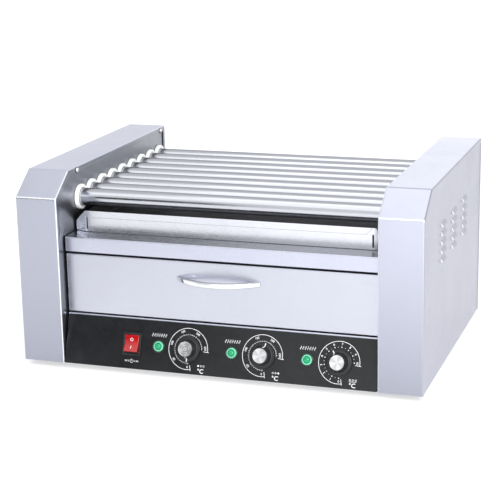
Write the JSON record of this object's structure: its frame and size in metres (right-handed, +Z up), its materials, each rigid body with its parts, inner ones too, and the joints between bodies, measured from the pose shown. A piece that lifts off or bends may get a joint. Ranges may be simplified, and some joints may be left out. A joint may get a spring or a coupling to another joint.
{
  "type": "hot dog roller grill",
  "caption": "Countertop hot dog roller grill in stainless steel: rollers between two side casings, drip tray, bun-warming drawer and a leaning control panel with knobs, lamps and a rocker.",
  "frame": {"origin": "on the floor under the middle of the cabinet", "axes": "+X to the machine's right as seen by someone facing its controls, -Y towards that person, +Z up"},
  "size_m": [0.586, 0.4259, 0.278],
  "materials": {
    "stainless": "brushed stainless sheet",
    "mirror_stainless": "polished stainless sheet",
    "galvanised": "galvanised sheet",
    "chrome": "polished chrome",
    "white_ptfe": "satin white",
    "panel_black": "black film on steel sheet",
    "black_plastic": "satin black",
    "red_plastic": "translucent red",
    "green_lens": "translucent green",
    "rubber": "matt",
    "dark_steel": "oiled or oxidised steel",
    "motor_grey": "grey paint"
  },
  "bodies": {
    "root": {"left_cover": "stainless", "right_cover": "stainless", "rear_panel": "stainless", "drawer_housing": "stainless", "left_inner_panel": "mirror_stainless", "right_inner_panel": "mirror_stainless", "base_pan": "galvanised", "thermostat_front": "galvanised", "thermostat_back": "galvanised", "thermostat_drawer": "galvanised", "left_bush_1": "white_ptfe", "left_bush_2": "white_ptfe", "left_bush_3": "white_ptfe", "left_bush_4": "white_ptfe", "left_bush_5": "white_ptfe", "left_bush_6": "white_ptfe", "left_bush_7": "white_ptfe", "left_bush_8": "white_ptfe", "left_bush_9": "white_ptfe", "right_bush_1": "white_ptfe", "right_bush_2": "white_ptfe", "right_bush_3": "white_ptfe", "right_bush_4": "white_ptfe", "right_bush_5": "white_ptfe", "right_bush_6": "white_ptfe", "right_bush_7": "white_ptfe", "right_bush_8": "white_ptfe", "right_bush_9": "white_ptfe", "control_panel": "panel_black", "switch_housing": "black_plastic", "cord_gland": "black_plastic", "lamp_front": "green_lens", "lamp_back": "green_lens", "lamp_drawer": "green_lens", "foot_front_left": "rubber", "foot_front_right": "rubber", "foot_rear_left": "rubber", "foot_rear_right": "rubber", "drive_chain": "dark_steel", "front_heater_bank": "dark_steel", "back_heater_bank": "dark_steel", "drawer_heater": "dark_steel", "drive_motor": "motor_grey"},
    "motor": {"motor_sprocket": "dark_steel"},
    "drip_tray": {"drip_tray": "stainless"},
    "drawer": {"drawer_box": "stainless", "drawer_handle": "chrome"},
    "knob_front": {"knob_front": "black_plastic"},
    "knob_back": {"knob_back": "black_plastic"},
    "knob_drawer": {"knob_drawer": "black_plastic"},
    "switch_rocker": {"switch_rocker": "red_plastic"},
    "roller_1": {"roller_1": "stainless"},
    "roller_2": {"roller_2": "stainless"},
    "roller_3": {"roller_3": "stainless"},
    "roller_4": {"roller_4": "stainless"},
    "roller_5": {"roller_5": "stainless"},
    "roller_6": {"roller_6": "stainless"},
    "roller_7": {"roller_7": "stainless"},
    "roller_8": {"roller_8": "stainless"},
    "roller_9": {"roller_9": "stainless"}
  },
  "joints": [
    {"name": "roller_1_spin", "type": "hinge", "parent": "root", "child": "roller_1", "pos_m": [0, -0.1255, 0.23275], "axis": [1, 0, 0], "continuous": true},
    {"name": "roller_2_spin", "type": "hinge", "parent": "root", "child": "roller_2", "pos_m": [0, -0.0879, 0.23275], "axis": [1, 0, 0], "continuous": true},
    {"name": "roller_3_spin", "type": "hinge", "parent": "root", "child": "roller_3", "pos_m": [0, -0.0503, 0.23275], "axis": [1, 0, 0], "continuous": true},
    {"name": "roller_4_spin", "type": "hinge", "parent": "root", "child": "roller_4", "pos_m": [0, -0.0127, 0.23275], "axis": [1, 0, 0], "continuous": true},
    {"name": "roller_5_spin", "type": "hinge", "parent": "root", "child": "roller_5", "pos_m": [0, 0.0249, 0.23275], "axis": [1, 0, 0], "continuous": true},
    {"name": "roller_6_spin", "type": "hinge", "parent": "root", "child": "roller_6", "pos_m": [0, 0.0625, 0.23275], "axis": [1, 0, 0], "continuous": true},
    {"name": "roller_7_spin", "type": "hinge", "parent": "root", "child": "roller_7", "pos_m": [0, 0.1001, 0.23275], "axis": [1, 0, 0], "continuous": true},
    {"name": "roller_8_spin", "type": "hinge", "parent": "root", "child": "roller_8", "pos_m": [0, 0.1377, 0.23275], "axis": [1, 0, 0], "continuous": true},
    {"name": "roller_9_spin", "type": "hinge", "parent": "root", "child": "roller_9", "pos_m": [0, 0.1753, 0.23275], "axis": [1, 0, 0], "continuous": true},
    {"name": "motor_spin", "type": "hinge", "parent": "root", "child": "motor", "pos_m": [0.2438, 0.0249, 0.12775], "axis": [1, 0, 0], "continuous": true},
    {"name": "drawer_slide", "type": "slide", "parent": "root", "child": "drawer", "axis": [0, -1, 0], "range_m": [0, 0.28]},
    {"name": "tray_slide", "type": "slide", "parent": "root", "child": "drip_tray", "axis": [0, -1, 0], "range_m": [0, 0.25]},
    {"name": "knob_front_turn", "type": "hinge", "parent": "root", "child": "knob_front", "pos_m": [-0.04277, -0.19537, 0.04135], "axis": [0, 0.9527, -0.3038], "range_deg": [0, 285]},
    {"name": "knob_back_turn", "type": "hinge", "parent": "root", "child": "knob_back", "pos_m": [0.06524, -0.19537, 0.04135], "axis": [0, 0.9527, -0.3038], "range_deg": [-195, 90]},
    {"name": "knob_drawer_turn", "type": "hinge", "parent": "root", "child": "knob_drawer", "pos_m": [0.17325, -0.19537, 0.04135], "axis": [0, 0.9527, -0.3038], "range_deg": [-150, 135]},
    {"name": "switch_rock", "type": "hinge", "parent": "root", "child": "switch_rocker", "pos_m": [-0.12644, -0.19423, 0.04098], "axis": [1, 0, 0], "range_deg": [0, 22]}
  ],
  "couplings": [
    {"joint": "roller_2_spin", "follows": "roller_1_spin", "ratio": 1},
    {"joint": "roller_3_spin", "follows": "roller_1_spin", "ratio": 1},
    {"joint": "roller_4_spin", "follows": "roller_1_spin", "ratio": 1},
    {"joint": "roller_5_spin", "follows": "roller_1_spin", "ratio": 1},
    {"joint": "roller_6_spin", "follows": "roller_1_spin", "ratio": 1},
    {"joint": "roller_7_spin", "follows": "roller_1_spin", "ratio": 1},
    {"joint": "roller_8_spin", "follows": "roller_1_spin", "ratio": 1},
    {"joint": "roller_9_spin", "follows": "roller_1_spin", "ratio": 1},
    {"joint": "motor_spin", "follows": "roller_1_spin", "ratio": 0.84615}
  ]
}
